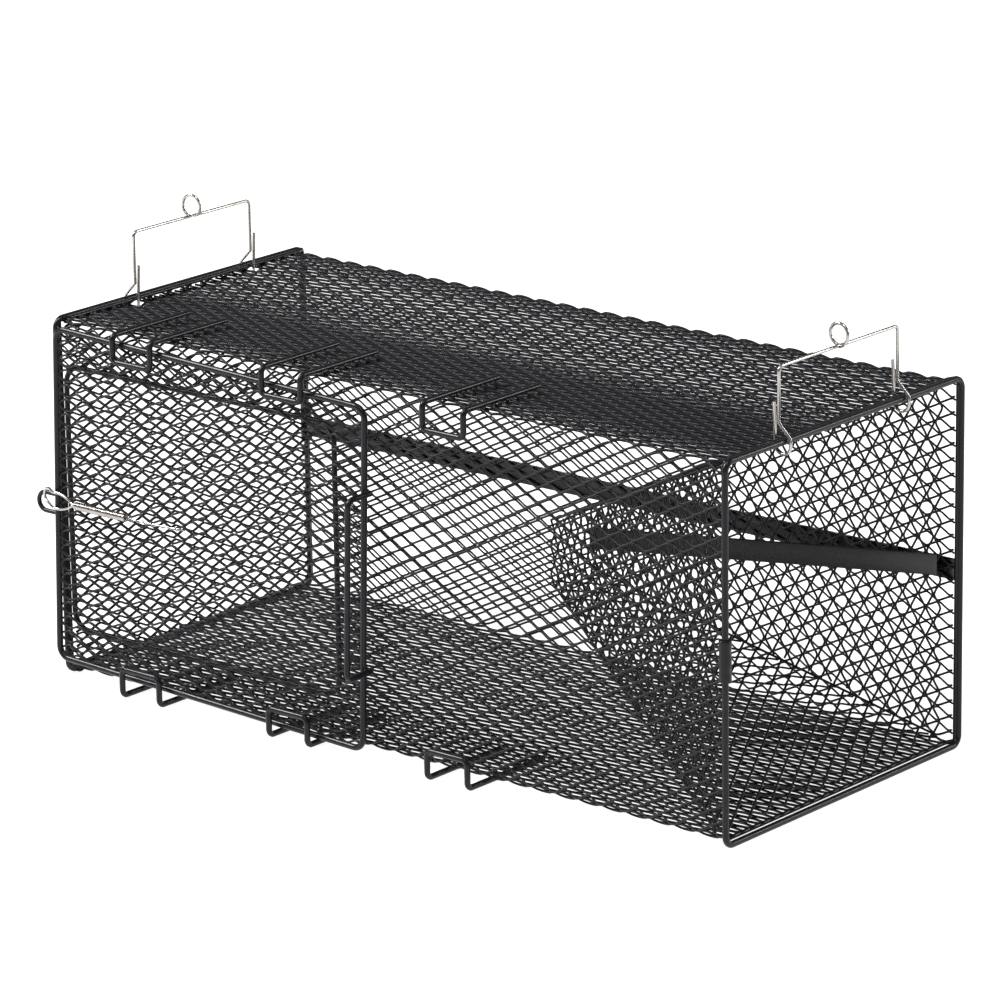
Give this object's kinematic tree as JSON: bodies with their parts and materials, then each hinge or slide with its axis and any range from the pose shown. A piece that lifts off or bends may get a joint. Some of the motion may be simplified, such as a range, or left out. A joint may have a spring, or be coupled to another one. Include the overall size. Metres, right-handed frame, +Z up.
{
  "type": "live catch trap",
  "caption": "Rectangular live catch trap of coated expanded mesh, with an entry funnel, a sliding wire door, a spring latch and rope bails.",
  "frame": {"origin": "on the ground, under the middle of the whole trap's outline", "axes": "+X along the trap towards the open funnel end, +Y from the door wall to the back wall, +Z up"},
  "size_m": [0.4825, 0.2281, 0.253],
  "materials": {
    "coated_wire": "black vinyl-dipped steel wire, satin",
    "mesh": "black vinyl-dipped expanded steel mesh, satin",
    "strip": "smooth black coated steel strip",
    "steel": "bright bare spring steel wire"
  },
  "bodies": {
    "cage": {"left_end_frame": "coated_wire", "left_mesh_edge_wire": "coated_wire", "left_frame_sleeve": "coated_wire", "right_end_frame": "coated_wire", "right_mesh_edge_wire": "coated_wire", "right_frame_sleeve": "coated_wire", "top_mesh": "mesh", "bottom_mesh": "mesh", "front_mesh": "mesh", "back_upper_mesh": "mesh", "back_lower_mesh": "mesh", "back_seam_strip": "strip", "left_end_mesh": "mesh", "door_opening_rim": "coated_wire", "funnel_top_mesh": "mesh", "funnel_bottom_mesh": "mesh", "funnel_front_mesh": "mesh", "funnel_back_upper_mesh": "mesh", "funnel_back_lower_mesh": "mesh", "funnel_seam_strip": "strip", "upper_guide_left": "coated_wire", "upper_guide_middle": "coated_wire", "upper_guide_right": "coated_wire", "lower_guide_left": "coated_wire", "lower_guide_middle": "coated_wire", "lower_guide_right": "coated_wire", "catch_loop": "coated_wire"},
    "door": {"door_ring": "coated_wire", "door_mesh": "mesh", "door_handle": "coated_wire"},
    "latch": {"latch_anchor_wire": "steel", "latch_spring": "steel"},
    "hook": {"latch_hook": "steel"},
    "left_bail": {"left_rope_bail": "steel"},
    "right_bail": {"right_rope_bail": "steel"}
  },
  "joints": [
    {"name": "door_slide", "type": "slide", "parent": "cage", "child": "door", "axis": [1, 0, 0], "range_m": [0, 0.175]},
    {"name": "latch_swing", "type": "hinge", "parent": "door", "child": "latch", "pos_m": [-0.12365, -0.09862, 0.1034], "axis": [0, 0, 1], "range_deg": [0, 110]},
    {"name": "latch_pull", "type": "slide", "parent": "latch", "child": "hook", "axis": [-1, 0, 0], "range_m": [0, 0.01], "stiffness_N_per_m": 250, "deforming": ["latch_spring"]},
    {"name": "left_bail_swing", "type": "hinge", "parent": "cage", "child": "left_bail", "pos_m": [-0.22144, 0.01648, 0.2018], "axis": [0, -1, 0], "range_deg": [-55, 105]},
    {"name": "right_bail_swing", "type": "hinge", "parent": "cage", "child": "right_bail", "pos_m": [0.23565, 0.01008, 0.2018], "axis": [0, 1, 0], "range_deg": [-55, 105]}
  ]
}
